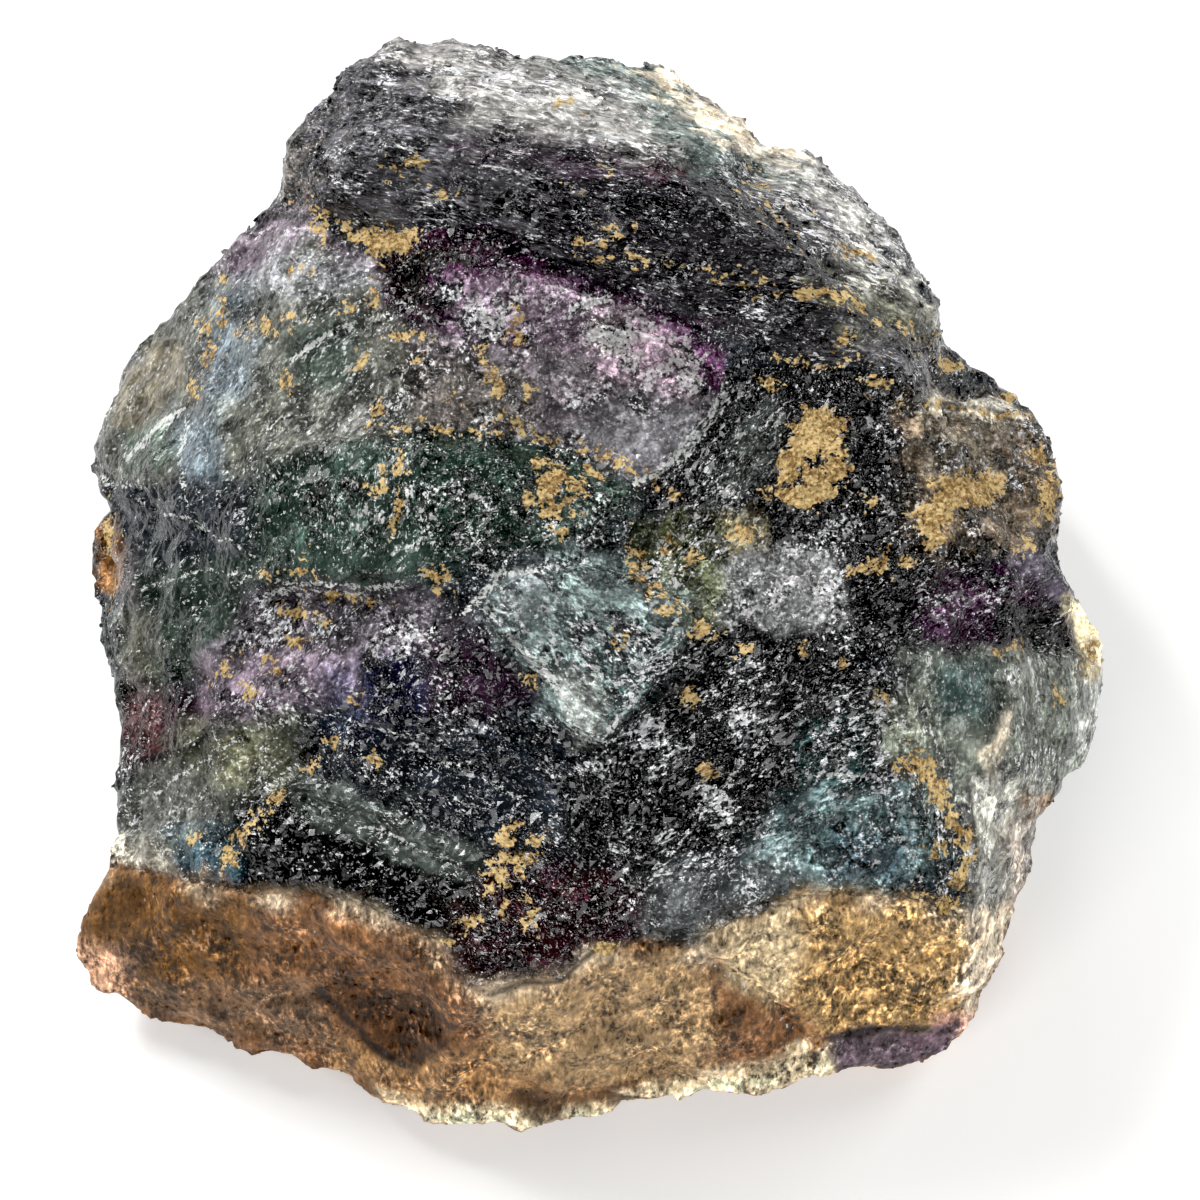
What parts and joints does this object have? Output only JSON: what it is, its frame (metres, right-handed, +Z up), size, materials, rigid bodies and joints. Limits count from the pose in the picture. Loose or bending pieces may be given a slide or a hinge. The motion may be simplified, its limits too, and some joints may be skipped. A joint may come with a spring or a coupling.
{
  "type": "raw fluorite",
  "caption": "Raw lump of dark green and purple banded fluorite with cleavage steps on top and a tan calcite crust along one side, resting on a broad flat broken base.",
  "frame": {"origin": "middle of the footprint at the height of the base", "axes": "+Z up, -Y towards the side with the tan crust, +X to the right as seen from that side"},
  "size_m": [0.1028, 0.1048, 0.0478],
  "materials": {
    "fluorite": "broken mineral surface, from glassy cleavage faces to a granular tan crust"
  },
  "bodies": {
    "root": {"fluorite_stone": "fluorite"}
  },
  "joints": []
}
